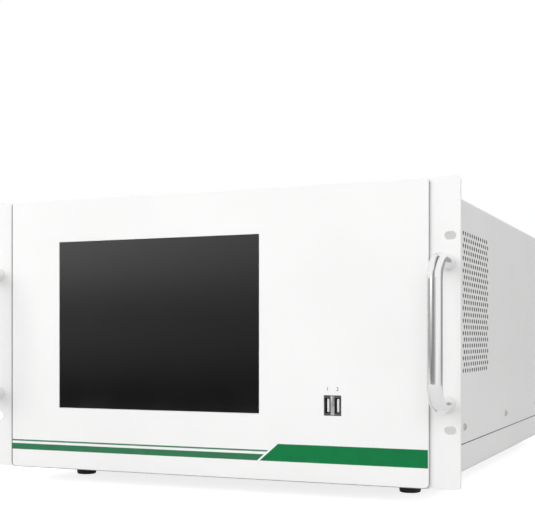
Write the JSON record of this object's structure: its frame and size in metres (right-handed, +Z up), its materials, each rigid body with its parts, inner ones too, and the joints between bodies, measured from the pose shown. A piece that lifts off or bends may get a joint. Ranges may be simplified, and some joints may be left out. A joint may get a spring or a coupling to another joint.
{
  "type": "ion mobility spectrometer",
  "caption": "Rack-mount ion mobility spectrometer with touch screen, side vents, bar handles, rubber feet and gas ports; heated column and drift cell inside.",
  "frame": {"origin": "on the floor under the feet, under the middle of the bounding box", "axes": "+X to the right and +Y to the rear as seen from the front, +Z up"},
  "size_m": [0.4826, 0.6906, 0.2804],
  "materials": {
    "white_powder_coat": "fine-grained white powder coat",
    "screen_glass": "glossy black cover glass",
    "socket_metal": "nickel-plated steel shell",
    "black_plastic": "moulded black plastic",
    "pale_plastic": "moulded white plastic",
    "satin_chrome": "satin chrome-plated bar",
    "zinc_steel": "zinc-plated steel",
    "black_rubber": "moulded black rubber",
    "bare_aluminium": "milled and brushed aluminium",
    "stainless_steel": "turned stainless steel",
    "circuit_board": "green solder mask",
    "mineral_wool": "pressed mineral insulation",
    "ceramic_white": "glazed technical ceramic",
    "copper_winding": "polyimide-coated capillary winding"
  },
  "bodies": {
    "case": {"front_panel": "white_powder_coat", "rack_ear_left": "white_powder_coat", "rack_ear_right": "white_powder_coat", "case_cover": "white_powder_coat", "base_tray": "white_powder_coat", "rear_panel": "white_powder_coat", "display_glass": "screen_glass", "display_module": "bare_aluminium", "display_bracket": "zinc_steel", "controller_board": "circuit_board", "usb_socket_block": "socket_metal", "usb_tongues": "pale_plastic", "front_frame": "zinc_steel", "handle_left": "satin_chrome", "handle_right": "satin_chrome", "handle_screws": "zinc_steel", "case_screws": "zinc_steel", "foot_screws": "zinc_steel", "foot_front_left": "black_rubber", "foot_front_right": "black_rubber", "foot_rear_left": "black_rubber", "foot_rear_right": "black_rubber", "power_inlet": "black_plastic", "switch_frame": "black_plastic", "rear_fan_frame": "black_plastic", "side_fan_frame": "black_plastic", "rear_fan_guard": "zinc_steel", "gas_fittings": "stainless_steel", "fitting_nuts": "stainless_steel", "network_socket": "socket_metal", "serial_socket": "socket_metal", "ground_stud": "stainless_steel", "oven_case": "bare_aluminium", "oven_lid": "bare_aluminium", "oven_insulation": "mineral_wool", "oven_heater": "bare_aluminium", "column_spool": "bare_aluminium", "column_coil": "copper_winding", "drift_tube_housing": "stainless_steel", "insulator_sleeve": "ceramic_white", "drift_rings": "stainless_steel", "ion_source": "stainless_steel", "amplifier_box": "bare_aluminium", "tube_clamps": "bare_aluminium", "transfer_line": "stainless_steel", "valve_actuator": "black_plastic", "valve_body": "stainless_steel", "sample_loop": "stainless_steel", "pump_body": "bare_aluminium", "gas_filters": "bare_aluminium", "flow_manifold": "bare_aluminium", "high_voltage_module": "zinc_steel", "power_supply": "zinc_steel", "main_board": "circuit_board", "board_standoffs": "zinc_steel"},
    "rocker": {"power_rocker": "black_plastic"},
    "rear_rotor": {"rear_fan_rotor": "black_plastic"},
    "side_rotor": {"side_fan_rotor": "black_plastic"},
    "valve_turn": {"valve_rotor": "bare_aluminium"},
    "pump_crank": {"pump_rotor": "stainless_steel"}
  },
  "joints": [
    {"name": "power_rocker_tip", "type": "hinge", "parent": "case", "child": "rocker", "pos_m": [0.1, 0.32525, 0.0605], "axis": [1, 0, 0], "range_deg": [-20, 0]},
    {"name": "rear_fan_spin", "type": "hinge", "parent": "case", "child": "rear_rotor", "pos_m": [0.12, 0.31075, 0.1905], "axis": [0, 1, 0], "continuous": true},
    {"name": "side_fan_spin", "type": "hinge", "parent": "case", "child": "side_rotor", "pos_m": [0.2007, -0.10775, 0.17807], "axis": [1, 0, 0], "continuous": true},
    {"name": "valve_switch", "type": "hinge", "parent": "case", "child": "valve_turn", "pos_m": [0.02, -0.18475, 0.102], "axis": [0, 0, 1], "range_deg": [0, 60]},
    {"name": "pump_turn", "type": "hinge", "parent": "case", "child": "pump_crank", "pos_m": [0.11, -0.19475, 0.086], "axis": [0, 0, 1], "continuous": true}
  ]
}
